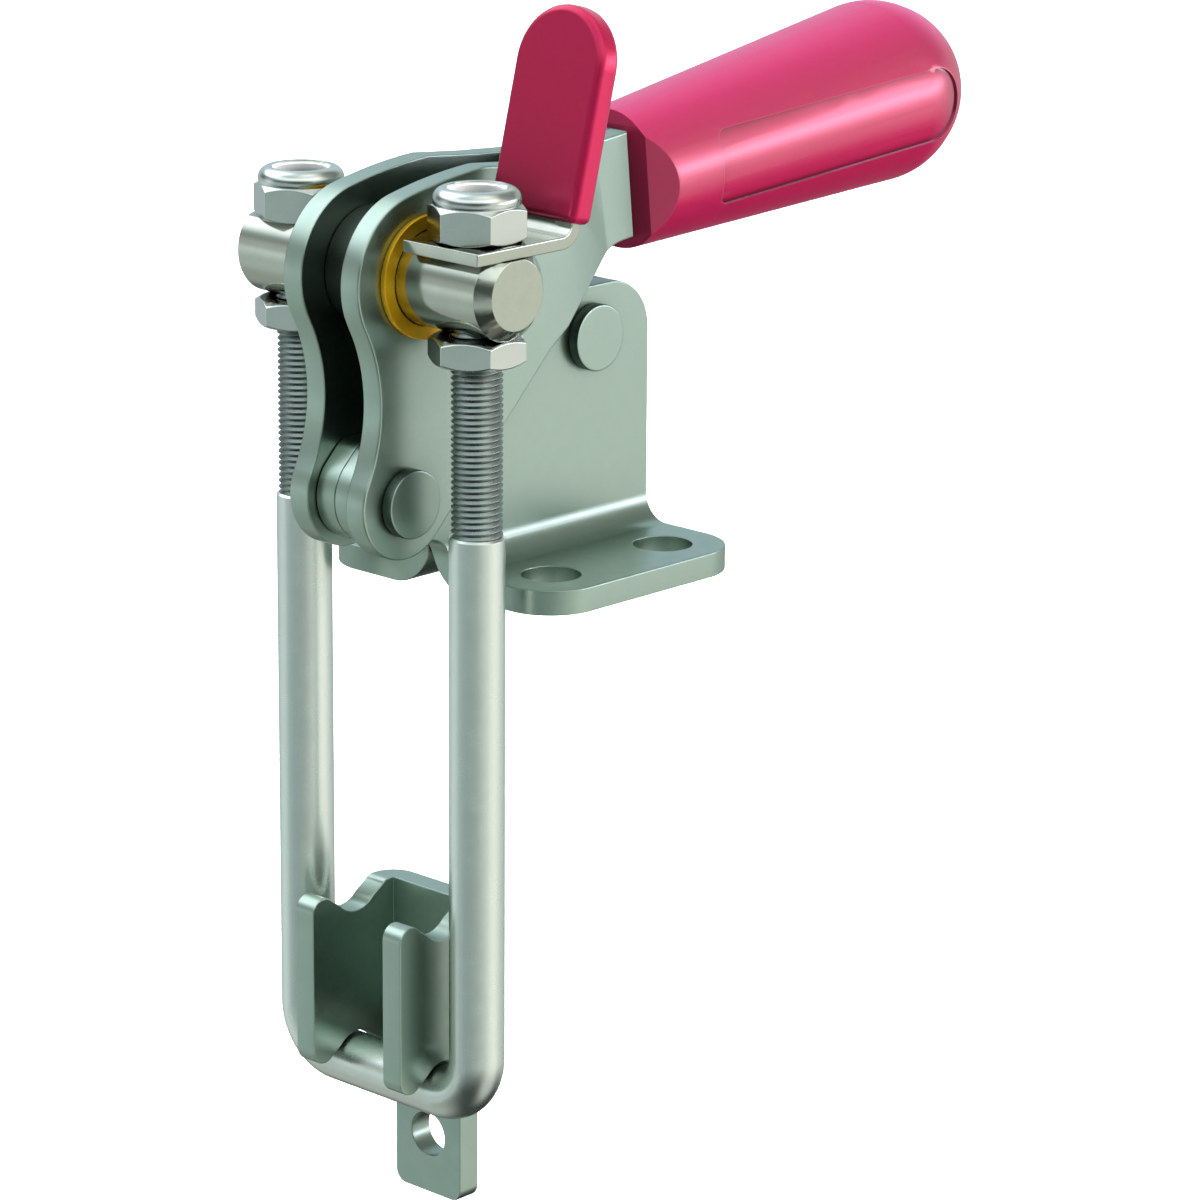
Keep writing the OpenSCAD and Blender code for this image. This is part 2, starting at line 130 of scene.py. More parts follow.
def pick_faces(piece: bpy.types.Object, test: Callable[[bpy.types.MeshPolygon], bool]) -> None:
    """Opens an object in edit mode with only the faces selected that pass a test.

    Args:
        piece: The object.
        test: A function of a face that says whether it is wanted.
    """
    edit(piece, "DESELECT")
    bpy.ops.mesh.select_mode(type="FACE")
    bpy.ops.object.mode_set(mode="OBJECT")
    for face in piece.data.polygons:
        face.select = test(face)
    bpy.ops.object.mode_set(mode="EDIT")


def cut_off(piece: bpy.types.Object, height: float, above: bool) -> None:
    """Cuts an object level and closes the cut.

    Args:
        piece: The object to cut.
        height: The height of the cut in millimetres.
        above: Whether the part above the cut goes, or the part below it.
    """
    edit(piece)
    bpy.ops.mesh.bisect(plane_co=mm(0, 0, height), plane_no=UP, use_fill=True,
                        clear_outer=above, clear_inner=not above, threshold=mm(CUT_TOLERANCE))
    leave_edit_mode()


def apply_modifiers(piece: bpy.types.Object) -> None:
    """Applies every modifier of an object, in order.

    Args:
        piece: The object whose modifiers are applied.
    """
    take(piece)
    for name in [modifier.name for modifier in piece.modifiers]:
        bpy.ops.object.modifier_apply(modifier=name)


def settle(piece: bpy.types.Object) -> None:
    """Puts the object's place, turn and scale into its mesh.

    Args:
        piece: The finished object.
    """
    take(piece)
    bpy.ops.object.transform_apply(location=True, rotation=True, scale=True)
    leave_edit_mode()


def close_mesh(piece: bpy.types.Object, gap: float = 0.001) -> None:
    """Merges doubles and turns every face outwards.

    Args:
        piece: The object to clean.
        gap: The distance, in millimetres, under which two points are one.
    """
    edit(piece)
    bpy.ops.mesh.remove_doubles(threshold=mm(gap))
    bpy.ops.mesh.normals_make_consistent(inside=False)
    leave_edit_mode()


def smooth(piece: bpy.types.Object, degrees: float, flats: bool = True) -> None:
    """Shades an object smooth, apart from its sharp edges.

    Args:
        piece: The object to shade.
        degrees: The angle from which an edge stays sharp.
        flats: Whether large flat faces keep their own direction up to their rounded edges.
    """
    take(piece)
    bpy.ops.object.shade_smooth_by_angle(angle=math.radians(degrees))
    if flats:
        weighing = piece.modifiers.new("flat faces stay flat", "WEIGHTED_NORMAL")
        weighing.mode = "FACE_AREA"
        weighing.weight = LARGE_FACE_WEIGHT
        weighing.keep_sharp = True
        apply_modifiers(piece)
    leave_edit_mode()


def copy_of_node(node: str, name: str) -> bpy.types.Object:
    """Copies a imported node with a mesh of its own, merged and with its flat faces joined.

    Args:
        node: The node's name.
        name: The name of the copy.

    Returns:
        The copy, which rides on nothing yet.
    """
    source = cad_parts[node]
    piece = bpy.data.objects.new(name, source.data.copy())
    bpy.context.scene.collection.objects.link(piece)
    edit(piece)
    bpy.ops.mesh.customdata_custom_splitnormals_clear()
    bpy.ops.mesh.remove_doubles(threshold=mm(NODE_GAP))
    bpy.ops.mesh.dissolve_limited(angle_limit=math.radians(NODE_FLATNESS))
    bpy.ops.mesh.normals_make_consistent(inside=False)
    leave_edit_mode()
    return piece


def round_edges(piece: bpy.types.Object, width: float, segments: int = 2,
                angle: float = 34.0) -> None:
    """Rounds the sharp edges of an object with a bevel.

    Args:
        piece: The object to round.
        width: The width of the rounding in millimetres.
        segments: The number of faces across the rounding.
        angle: The angle, in degrees, from which an edge is rounded.
    """
    bevel = piece.modifiers.new("rounded edges", "BEVEL")
    bevel.width = mm(width)
    bevel.segments = segments
    bevel.limit_method = "ANGLE"
    bevel.angle_limit = math.radians(angle)
    bevel.use_clamp_overlap = True
    bevel.miter_outer = "MITER_ARC"
    apply_modifiers(piece)


# ---------------------------------------------------------------- shading


@dataclass(frozen=True)
class Step:
    """A smooth change of a level as a driving number goes from start to stop."""

    start: float
    stop: float
    before: float | Socket = 0.0
    after: float | Socket = 1.0


class Sketch:
    """A node tree that is written a node at a time."""

    def __init__(self, tree: bpy.types.NodeTree) -> None:
        """Takes the tree to write in.

        Args:
            tree: A material's, world's or group's node tree.
        """
        self.tree = tree

    def add(self, kind: str, inputs: dict | None = None, **settings: object) -> bpy.types.Node:
        """Adds a node, sets its properties and fills its sockets.

        Args:
            kind: The node's type name.
            inputs: Values or sockets for the inputs, by name or number.
            settings: Properties of the node.

        Returns:
            The new node.
        """
        node = self.tree.nodes.new(kind)
        for key, value in settings.items():
            setattr(node, key, value)
        self.fill(node, inputs or {})
        return node

    def fill(self, node: bpy.types.Node, inputs: dict) -> None:
        """Fills sockets of a node.

        Args:
            node: The node.
            inputs: Values or sockets for its inputs, by name or number.
        """
        for key, value in inputs.items():
            if isinstance(value, Socket):
                self.tree.links.new(value, node.inputs[key])
            else:
                node.inputs[key].default_value = value

    def math(self, operation: str, *values: float | Socket, clamp: bool = False) -> Socket:
        """Adds a Math node.

        Args:
            operation: The operation's name.
            values: Its inputs, numbers or sockets.
            clamp: Whether the result is held between 0 and 1.

        Returns:
            The result's socket.
        """
        node = self.add("ShaderNodeMath", dict(enumerate(values)), operation=operation,
                        use_clamp=clamp)
        return node.outputs[0]

    def times(self, first: float | Socket, second: float | Socket) -> Socket:
        """Adds a multiplication."""
        return self.math("MULTIPLY", first, second)

    def dot(self, vector: Socket, other: Socket | Sequence[float]) -> Socket:
        """Adds a dot product.

        Args:
            vector: The vector's socket.
            other: A fixed direction, or another vector's socket.

        Returns:
            The result's socket.
        """
        node = self.add("ShaderNodeVectorMath", {0: vector, 1: other}, operation="DOT_PRODUCT")
        return node.outputs["Value"]

    def spread(self, value: Socket, step: Step) -> Socket:
        """Adds a smooth Map Range node.

        Args:
            value: The socket to map.
            step: Where the change starts and stops, and the levels before and after it.

        Returns:
            The result's socket.
        """
        inputs = dict(enumerate((value, step.start, step.stop, step.before, step.after)))
        node = self.add("ShaderNodeMapRange", inputs, interpolation_type="SMOOTHSTEP")
        return node.outputs[0]

    def blend(self, factor: float | Socket, first: Colour | Socket, second: Colour | Socket,
              kind: str = "MIX") -> Socket:
        """Adds a colour mix.

        Args:
            factor: The share of the second colour.
            first: The first colour, a value or a socket.
            second: The second colour, a value or a socket.
            kind: The blend type.

        Returns:
            The mixed colour's socket.
        """
        inputs = {0: factor, 6: self.full(first), 7: self.full(second)}
        node = self.add("ShaderNodeMix", inputs, data_type="RGBA", blend_type=kind)
        return node.outputs[2]

    def ramp(self, factor: Socket, stops: Sequence[tuple[float, Colour]]) -> Socket:
        """Adds a colour ramp.

        Args:
            factor: The socket that drives it.
            stops: Places between 0 and 1 with their colours, in order.

        Returns:
            The colour's socket.
        """
        node = self.add("ShaderNodeValToRGB", {0: factor})
        elements = node.color_ramp.elements
        while len(elements) < len(stops):
            elements.new(0.5)
        for element, (place, colour) in zip(elements, stops):
            element.position = place
            element.color = self.full(colour)
        return node.outputs[0]

    def noise(self, place: Socket, scale: Socket, detail: float, roughness: float) -> Socket:
        """Adds a noise.

        Args:
            place: The socket of the place that it is read at.
            scale: The socket of its scale.
            detail: How many finer layers it has.
            roughness: How strong the finer layers are.

        Returns:
            The socket of its value, about 0.5.
        """
        inputs = {"Vector": place, "Scale": scale, "Detail": detail, "Roughness": roughness}
        return self.add("ShaderNodeTexNoise", inputs).outputs[0]

    def grey(self, value: Socket) -> Socket:
        """Makes a grey of a number."""
        return self.add("ShaderNodeCombineColor", {0: value, 1: value, 2: value}).outputs[0]

    def background_rays(self) -> Socket:
        """Tells the rays that see the background itself from those that carry its light.

        Returns:
            The socket of the share, 1 for camera, glossy and transmission rays.
        """
        path = self.add("ShaderNodeLightPath")
        seen = self.math("ADD", path.outputs["Is Camera Ray"], path.outputs["Is Glossy Ray"])
        return self.math("ADD", seen, path.outputs["Is Transmission Ray"], clamp=True)

    @staticmethod
    def full(colour: Colour | Socket) -> tuple[float, float, float, float] | Socket:
        """Gives a colour its fourth part.

        Args:
            colour: A colour, or a socket.

        Returns:
            The colour in four parts, or the socket as it is.
        """
        return colour if isinstance(colour, Socket) else (*colour, 1.0)


def new_group(name: str, inputs: dict[str, float | None], outputs: dict[str, str],
              ) -> tuple[bpy.types.NodeTree, Sketch, bpy.types.Node, bpy.types.Node]:
    """Starts a shader node group.

    Args:
        name: The group's name.
        inputs: The inputs' names, with a number's default value, or None for a vector.
        outputs: The outputs' names and socket types.

    Returns:
        The group's tree, its sketch, its input node and its output node.
    """
    tree = bpy.data.node_groups.new(name, "ShaderNodeTree")
    for label, value in inputs.items():
        kind = "NodeSocketVector" if value is None else "NodeSocketFloat"
        socket = tree.interface.new_socket(label, in_out="INPUT", socket_type=kind)
        if value is not None:
            socket.default_value = value
    for label, kind in outputs.items():
        tree.interface.new_socket(label, in_out="OUTPUT", socket_type=kind)
    sketch = Sketch(tree)
    return tree, sketch, sketch.add("NodeGroupInput"), sketch.add("NodeGroupOutput")


@dataclass
class Effects:
    """The node groups that several finishes share, after the values that they are built with."""

    edge_samples: int = 6
    edge_turn: Step = Step(0.995, 0.80)
    cloud_share: float = 0.65
    grain_share: float = 0.35
    tone_range: Step = Step(0.34, 0.66)
    # painted shade in crevices: the occlusion's samples and the range over which it darkens the
    # colour
    crevice_shade_samples: int = 4
    crevice_shade_start: float = 0.25
    crevice_shade_stop: float = 0.95
    edges: bpy.types.NodeTree = field(init=False)
    mottle: bpy.types.NodeTree = field(init=False)
    lines: bpy.types.NodeTree = field(init=False)
    crevice_shading: bpy.types.NodeTree = field(init=False)

    def __post_init__(self) -> None:
        """Builds the groups."""
        self.edges = self.build_edges()
        self.mottle = self.build_mottle()
        self.lines = self.build_lines()
        self.crevice_shading = self.build_crevice_shade()

    def build_edges(self) -> bpy.types.NodeTree:
        """Builds the group that finds edges and gives a softened normal.

        Returns:
            The group, with the outputs Edge and Normal.
        """
        tree, sketch, come, go = new_group(
            "soft_edges", {"Radius": 0.0002},
            {"Edge": "NodeSocketFloat", "Normal": "NodeSocketVector"})
        soft = sketch.add("ShaderNodeBevel", {"Radius": come.outputs["Radius"]},
                          samples=self.edge_samples).outputs[0]
        surface = sketch.add("ShaderNodeNewGeometry").outputs["Normal"]
        edge = sketch.spread(sketch.dot(soft, surface), self.edge_turn)
        sketch.fill(go, {"Edge": edge, "Normal": soft})
        return tree

    def build_mottle(self) -> bpy.types.NodeTree:
        """Builds the group for the fine cloudiness of a plated or moulded surface.

        Returns:
            The group, with the outputs Tone, about 0.5, and Height.
        """
        tree, sketch, come, go = new_group(
            "fine_mottle", {"Scale": 400.0, "Grain": 4000.0},
            {"Tone": "NodeSocketFloat", "Height": "NodeSocketFloat"})
        place = sketch.add("ShaderNodeTexCoord").outputs["Object"]
        cloud = sketch.noise(place, come.outputs["Scale"], detail=4.0, roughness=0.55)
        grain = sketch.noise(place, come.outputs["Grain"], detail=2.0, roughness=0.6)
        tone = sketch.math("ADD", sketch.times(cloud, self.cloud_share),
                           sketch.times(grain, self.grain_share))
        sketch.fill(go, {"Tone": sketch.spread(tone, self.tone_range), "Height": grain})
        return tree

    def build_crevice_shade(self) -> bpy.types.NodeTree:
        """Builds the group that paints shade into the colour where pieces meet, from ambient
        occlusion.

        Returns:
            The group, whose one output is 1 in the open and falls to Depth in a crevice, as
            painted shade.
        """
        tree, sketch, come, go = new_group(
            "painted_crevice_shade", {"Distance": 0.006, "Depth": 0.5}, {"Unshaded": "NodeSocketFloat"})
        hidden = sketch.add("ShaderNodeAmbientOcclusion",
                            {"Distance": come.outputs["Distance"]}, samples=self.crevice_shade_samples)
        step = Step(self.crevice_shade_start, self.crevice_shade_stop, before=come.outputs["Depth"])
        sketch.fill(go, {"Unshaded": sketch.spread(hidden.outputs["AO"], step)})
        return tree

    def build_lines(self) -> bpy.types.NodeTree:
        """Builds the group for fine drawn or turned lines.

        Returns:
            The group, with the output Line, about 0.5.
        """
        tree, sketch, come, go = new_group(
            "drawn_lines", {"Vector": None, "Scale": 1.0}, {"Line": "NodeSocketFloat"})
        line = sketch.noise(come.outputs["Vector"], come.outputs["Scale"],
                            detail=3.0, roughness=0.6)
        sketch.fill(go, {"Line": line})
        return tree


EFFECTS = Effects()


class Grain(Enum):
    """The way that fine lines run, as how often they change in a metre of X, Y and Z."""

    NONE = (0.0, 0.0, 0.0)
    ALONG_Z = (9000.0, 9000.0, 300.0)
    ROUND_Y = (500.0, 14000.0, 500.0)
    SHEET = (700.0, 700.0, 9000.0)


@dataclass(frozen=True)
class Surface:
    """What every finish has: two tones, a painted highlight on edges, painted shade in crevices
    and a fine bump.

    The edges' radius, the crevices' reach and the bump's depth are in millimetres. The clouds
    and the grains are counted in a metre.
    """

    name: str
    colour: Colour
    shade: Colour
    roughness: float
    metallic: float = 1.0
    shade_share: float = 0.6
    rough_change: float = 0.08
    clouds: float = 400.0
    grains: float = 4000.0
    # painted highlight: the colour that edges are lightened towards, and by what share
    edge_highlight: Colour = (0.75, 0.82, 0.82)
    edge_highlight_share: float = 0.35
    edge_radius: float = 0.12
    bump: float = 0.02
    bump_depth: float = 0.05
    # painted shade: how deep and how far out ambient occlusion darkens the colour in crevices
    crevice_shade_depth: float = 0.60
    crevice_shade_reach: float = 5.5

    def build(self) -> bpy.types.Material:
        """Builds the material.

        Returns:
            The material.
        """
        material = bpy.data.materials.new(self.name)
        material.use_nodes = True
        material.node_tree.nodes.clear()
        sketch = Sketch(material.node_tree)
        edges = sketch.add("ShaderNodeGroup", {"Radius": mm(self.edge_radius)},
                           node_tree=EFFECTS.edges)
        tone, height = self.pattern(sketch)
        bump = sketch.add("ShaderNodeBump", {
            "Height": height, "Strength": self.bump, "Distance": mm(self.bump_depth),
            "Normal": edges.outputs["Normal"]})
        half = self.rough_change / 2
        rough = Step(0.0, 1.0, self.roughness - half, self.roughness + half)
        shader = sketch.add("ShaderNodeBsdfPrincipled", {
            "Base Color": self.tint(sketch, tone, edges.outputs["Edge"]),
            "Roughness": sketch.spread(tone, rough), "Metallic": self.metallic,
            "Normal": bump.outputs[0]})
        self.coat_over(sketch, shader)
        sketch.add("ShaderNodeOutputMaterial", {"Surface": shader.outputs[0]})
        return material

    def pattern(self, sketch: Sketch) -> tuple[Socket, Socket]:
        """Adds the fine cloudiness.

        Args:
            sketch: The material's sketch.

        Returns:
            The sockets of the tone and the height.
        """
        mottle = sketch.add("ShaderNodeGroup", {"Scale": self.clouds, "Grain": self.grains},
                            node_tree=EFFECTS.mottle)
        return mottle.outputs["Tone"], mottle.outputs["Height"]

    def tint(self, sketch: Sketch, tone: Socket, edge: Socket) -> Socket:
        """Adds the colour: two tones, then a painted highlight on edges, then painted shade in
        crevices.

        Args:
            sketch: The material's sketch.
            tone: The tone's socket.
            edge: The socket that is 1 on an edge.

        Returns:
            The colour's socket.
        """
        share = sketch.math("MULTIPLY", tone, self.shade_share, clamp=True)
        colour = sketch.blend(share, self.colour, self.shade)
        # painted highlight: the colour is lightened along edges
        colour = sketch.blend(sketch.times(edge, self.edge_highlight_share), colour, self.edge_highlight)
        # painted shade: ambient occlusion darkens the colour where pieces meet
        crevice_shading = sketch.add("ShaderNodeGroup", {
            "Distance": mm(self.crevice_shade_reach), "Depth": self.crevice_shade_depth},
            node_tree=EFFECTS.crevice_shading)
        return sketch.blend(1.0, colour, sketch.grey(crevice_shading.outputs["Unshaded"]), "MULTIPLY")

    def coat_over(self, sketch: Sketch, shader: bpy.types.Node) -> None:
        """Leaves the shader as it is, because a bare surface has no coat.

        Args:
            sketch: The material's sketch.
            shader: The material's shader.
        """


@dataclass(frozen=True)
class Metal(Surface):
    """A plated or bare metal finish, with fine lines where it was drawn, turned or rolled."""

    grain: Grain = Grain.NONE
    line_share: float = 0.5
    cloud_height: float = 0.4

    def pattern(self, sketch: Sketch) -> tuple[Socket, Socket]:
        """Adds the fine cloudiness, and the lines over it.

        Args:
            sketch: The material's sketch.

        Returns:
            The sockets of the tone and the height.
        """
        tone, height = super().pattern(sketch)
        if self.grain is Grain.NONE:
            return tone, height
        place = sketch.add("ShaderNodeTexCoord").outputs["Object"]
        stretched = sketch.add("ShaderNodeMapping", {"Vector": place, "Scale": self.grain.value})
        lines = sketch.add("ShaderNodeGroup", {"Vector": stretched.outputs[0]},
                           node_tree=EFFECTS.lines)
        line = lines.outputs["Line"]
        tone = sketch.math("ADD", sketch.times(tone, 1.0 - self.line_share),
                           sketch.times(line, self.line_share))
        return tone, sketch.math("ADD", sketch.times(height, self.cloud_height), line)


@dataclass(frozen=True)
class Plastic(Surface):
    """A moulded or dipped plastic finish, with a coat and a painted sheen on what faces up.

    The coat's weight is painted by facing, as painted shade: its full weight on what faces
    sideways, its shaded share of that on what faces down, and the crown's share of the shaded
    share on what doesn't face sideways.
    """

    metallic: float = 0.0
    shade_share: float = 0.5
    rough_change: float = 0.06
    clouds: float = 90.0
    grains: float = 2600.0
    # painted highlight on edges, set for plastic
    edge_highlight: Colour = (0.8, 0.2, 0.35)
    edge_highlight_share: float = 0.25
    edge_radius: float = 0.2
    bump: float = 0.03
    bump_depth: float = 0.04
    # painted shade in crevices, set for plastic
    crevice_shade_depth: float = 0.5
    crevice_shade_reach: float = 10.0
    specular: float = 0.5
    coat: float = 0.0
    coat_ior: float = 1.5
    coat_roughness: float = 0.2
    # painted shade: the coat's share on what faces down, and with crown_share on what doesn't
    # face sideways
    shaded_coat: float = 0.6
    crown_share: float = 1.6
    underside: tuple[float, float] = (-0.38, 0.05)
    side: tuple[float, float] = (0.45, 0.97)
    # painted sheen: a lilac sheen only on what faces up
    painted_sheen: float = 0.0
    painted_sheen_tint: Colour = (0.9, 0.45, 0.9)
    painted_sheen_roughness: float = 0.5
    crown: tuple[float, float] = (0.40, 0.95)

    def coat_over(self, sketch: Sketch, shader: bpy.types.Node) -> None:
        """Adds the coat, with its weight painted by facing as painted shade, and the painted
        sheen.

        Args:
            sketch: The material's sketch.
            shader: The material's shader.
        """
        sketch.fill(shader, {"Specular IOR Level": self.specular})
        if self.coat == 0.0:
            return
        # painted shade: the coat's weight follows which way the surface faces, thinner below and
        # on the crown
        normal = sketch.add("ShaderNodeNewGeometry").outputs["Normal"]
        upwards = sketch.dot(normal, UP)
        sideways = sketch.math("ABSOLUTE", sketch.dot(normal, ACROSS))
        below = Step(*self.underside, self.coat * self.shaded_coat, self.coat)
        beside = Step(*self.side, self.shaded_coat * self.crown_share, 1.0)
        weight = sketch.times(sketch.spread(upwards, below), sketch.spread(sideways, beside))
        sketch.fill(shader, {"Coat Weight": weight, "Coat IOR": self.coat_ior,
                             "Coat Roughness": self.coat_roughness})
        # painted sheen: a lilac sheen only on what faces up, lightening the top
        if self.painted_sheen > 0.0:
            weight = sketch.spread(upwards, Step(*self.crown, 0.0, self.painted_sheen))
            sketch.fill(shader, {"Sheen Weight": weight, "Sheen Roughness": self.painted_sheen_roughness,
                                 "Sheen Tint": sketch.full(self.painted_sheen_tint)})


class Finish(Enum):
    """The finishes of the clamp."""

    ZINC_PLATE = Metal(
        "satin_zinc_plate", (0.50, 0.61, 0.535), (0.44, 0.545, 0.475), 0.31,
        grain=Grain.SHEET, edge_highlight_share=0.4, crevice_shade_depth=0.58, crevice_shade_reach=9.0)
    # painted shade: a dark copy of the zinc plate for the rivet heads' round sides
    RIVET_SIDE = Metal("rivet_side_painted_shade", (0.17, 0.22, 0.19), (0.13, 0.17, 0.15), 0.45)
    BRIGHT_NICKEL = Metal(
        "bright_nut_plating", (0.86, 0.87, 0.84), (0.80, 0.82, 0.79), 0.17,
        rough_change=0.04, edge_highlight=(0.95, 0.95, 0.92), bump=0.01)
    BRIGHT_ZINC = Metal(
        "turned_bright_zinc", (0.66, 0.68, 0.60), (0.60, 0.62, 0.55), 0.125,
        rough_change=0.04, edge_highlight=(0.95, 0.95, 0.86), bump=0.01)
    ROD_STEEL = Metal(
        "satin_rod", (0.97, 1.0, 0.95), (0.91, 0.95, 0.90), 0.30,
        grain=Grain.ALONG_Z, bump=0.004, crevice_shade_depth=0.7)
    # painted shade: the threads are a darker copy of the rod's steel, for the shade in their
    # valleys
    THREAD_STEEL = Metal(
        "shaded_thread_steel", (0.38, 0.43, 0.41), (0.31, 0.35, 0.33), 0.30,
        bump=0.0, edge_highlight_share=0.0, edge_radius=0.01, crevice_shade_depth=0.25, crevice_shade_reach=0.7)
    DARK_STEEL = Metal(
        "dark_steel", (0.10, 0.11, 0.10), (0.07, 0.08, 0.07), 0.38, grain=Grain.ROUND_Y)
    BUSH_YELLOW = Metal(
        "golden_bush", (0.95, 0.52, 0.01), (0.85, 0.44, 0.005), 0.32,
        metallic=0.6, edge_highlight=(1.0, 0.78, 0.2))
    GRIP_PLASTIC = Plastic(
        "crimson_grip", (0.64, 0.008, 0.105), (0.56, 0.007, 0.090), 0.36,
        metallic=0.66, coat=1.0, coat_ior=2.2, coat_roughness=0.29, specular=0.1,
        shaded_coat=0.15, painted_sheen=0.35, crevice_shade_depth=0.35, crevice_shade_reach=16.0)
    VINYL = Plastic(
        "dipped_vinyl", (0.64, 0.010, 0.090), (0.57, 0.008, 0.075), 0.36,
        metallic=0.70, coat=1.0, coat_ior=1.4, coat_roughness=0.26, specular=0.1,
        edge_highlight=(0.80, 0.10, 0.22))
    NYLON = Plastic(
        "white_nylon", (0.99, 0.99, 0.96), (0.95, 0.95, 0.92), 0.5,
        edge_highlight=(0.9, 0.9, 0.9), crevice_shade_depth=0.95)


@cache
def material_of(finish: Finish) -> bpy.types.Material:
    """Gives a finish's material, built the first time it is asked for.

    Args:
        finish: The finish.

    Returns:
        Its material.
    """
    return finish.value.build()


def paint(piece: bpy.types.Object, finish: Finish) -> None:
    """Gives an object one finish all over.

    Args:
        piece: The object.
        finish: The finish.
    """
    piece.data.materials.clear()
    piece.data.materials.append(material_of(finish))


# ---------------------------------------------------------------- the clamp


@dataclass
class RoundedParts:
    """Parts that keep their nodes' shapes, each with its edges rounded by a width of its own."""

    body: str
    finish: Finish
    slot: str
    nodes: dict[str, float]
    mirrored: bool = True
    sharp_from: float = 30.0
    ground_from: float = 0.5

    def build(self) -> list[bpy.types.Object]:
        """Copies each node, rounds its edges and puts it in the node's place.

        Returns:
            The finished pieces.
        """
        made = []
        for node, width in self.nodes.items():
            piece = copy_of_node(node, f"{node}_dressed")
            round_edges(piece, width)
            smooth(piece, self.sharp_from)
            paint(piece, self.finish)
            # painted shade on the rivets' round sides
            if node.endswith("rivet"):
                self.shade_rivet_sides(piece)
            piece.visible_glossy = self.mirrored
            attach(piece, self.body)
            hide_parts(node)
            made.append(piece)
        return made

    def shade_rivet_sides(self, rivet: bpy.types.Object) -> None:
        """Paints the round side of a rivet's heads with a dark copy of the plating, as painted
        shade; their ground faces keep the plating.

        Args:
            rivet: The rivet.
        """
        rivet.data.materials.append(material_of(Finish.RIVET_SIDE))
        for face in rivet.data.polygons:
            if abs(face.normal.y) < self.ground_from:
                face.material_index = 1


@dataclass
class HookRod:
    """The U-bolt: a bent rod with a thread cut on each leg.

    The flank, crest and root are shares of the pitch. The seam is how far below the shoulder the
    rod and its threads meet, the spare turns are cut off at each end, and the tip is the width of
    a thread's chamfered end as a share of its full width.
    """

    x: float = -23.5
    leg_y: float = 14.25
    thread_r: float = 2.97
    root_r: float = 2.62
    pitch: float = 0.71
    flank: float = 0.40
    crest: float = 0.16
    root: float = 0.04
    spare_turns: int = 2
    shoulder_z: float = 10.6
    seam: float = 0.02
    top_z: float = 48.2
    chamfer: float = 0.5
    tip: float = 0.84
    steps: int = 30

    def build(self) -> list[bpy.types.Object]:
        """Builds the rod and its two threads as one piece.

        Returns:
            The finished piece in a list.
        """
        rod = self.build_rod()
        threads = [self.build_thread(side * self.leg_y) for side in (-1.0, 1.0)]
        paint(rod, Finish.ROD_STEEL)
        rod.data.materials.append(material_of(Finish.THREAD_STEEL))
        smooth(rod, 30.0)
        for thread in threads:
            paint(thread, Finish.THREAD_STEEL)
            smooth(thread, 60.0, flats=False)
        take(rod)
        for thread in threads:
            thread.select_set(True)
        bpy.ops.object.join()
        leave_edit_mode()
        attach(rod, "hook")
        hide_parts("u_bolt")
        return [rod]

    def build_rod(self) -> bpy.types.Object:
        """Copies the bent rod and cuts its plain thread cylinders off below the shoulder.

        Returns:
            The rod below the threads.
        """
        rod = copy_of_node("u_bolt", "u_bolt_dressed")
        cut_off(rod, self.shoulder_z - self.seam, above=True)
        return rod

    def build_thread(self, leg_y: float) -> bpy.types.Object:
        """Turns one leg's thread, trims it flat at both ends and chamfers its top.

        Args:
            leg_y: The leg's place across the clamp in millimetres.

        Returns:
            The closed thread.
        """
        thread = self.turn_thread(leg_y)
        top = self.top_z - self.chamfer
        cut_off(thread, self.shoulder_z - self.seam, above=False)
        cut_off(thread, top, above=True)
        pick_faces(thread, lambda face: abs(face.normal.z) > FACING
                   and face.center.z > mm(top - 0.01))
        bpy.ops.mesh.extrude_region_move(
            TRANSFORM_OT_translate={"value": mm(0, 0, self.chamfer)})
        bpy.ops.transform.resize(value=(self.tip, self.tip, 1.0),
                                 center_override=mm(self.x, leg_y, self.top_z))
        leave_edit_mode()
        close_mesh(thread)
        return thread

    def turn_thread(self, leg_y: float) -> bpy.types.Object:
        """Extrudes one ridge's V profile from a point and screws it up past the rod's top.

        Args:
            leg_y: The leg's place across the clamp in millimetres.

        Returns:
            The thread, open at both ends.
        """
        start = self.shoulder_z - self.spare_turns * self.pitch
        bpy.ops.mesh.primitive_plane_add(size=mm(0.1), location=mm(self.x, leg_y, start))
        thread = bpy.context.object
        edit(thread)
        bpy.ops.mesh.merge(type="CENTER")
        bpy.ops.transform.translate(value=mm(self.root_r, 0, 0))
        rise = self.thread_r - self.root_r
        profile = ((rise, self.flank), (0.0, self.crest), (-rise, self.flank), (0.0, self.root))
        for out, up in profile:
            bpy.ops.mesh.extrude_vertices_move(
                TRANSFORM_OT_translate={"value": mm(out, 0, up * self.pitch)})
        leave_edit_mode()
        screw = thread.modifiers.new("thread", "SCREW")
        screw.axis = "Z"
        screw.angle = math.tau
        screw.screw_offset = mm(self.pitch)
        screw.iterations = math.ceil((self.top_z - start) / self.pitch) + self.spare_turns
        screw.steps = screw.render_steps = self.steps
        screw.use_merge_vertices = True
        screw.merge_threshold = mm(0.002)
        apply_modifiers(thread)
        settle(thread)
        close_mesh(thread, gap=0.004)
        return thread


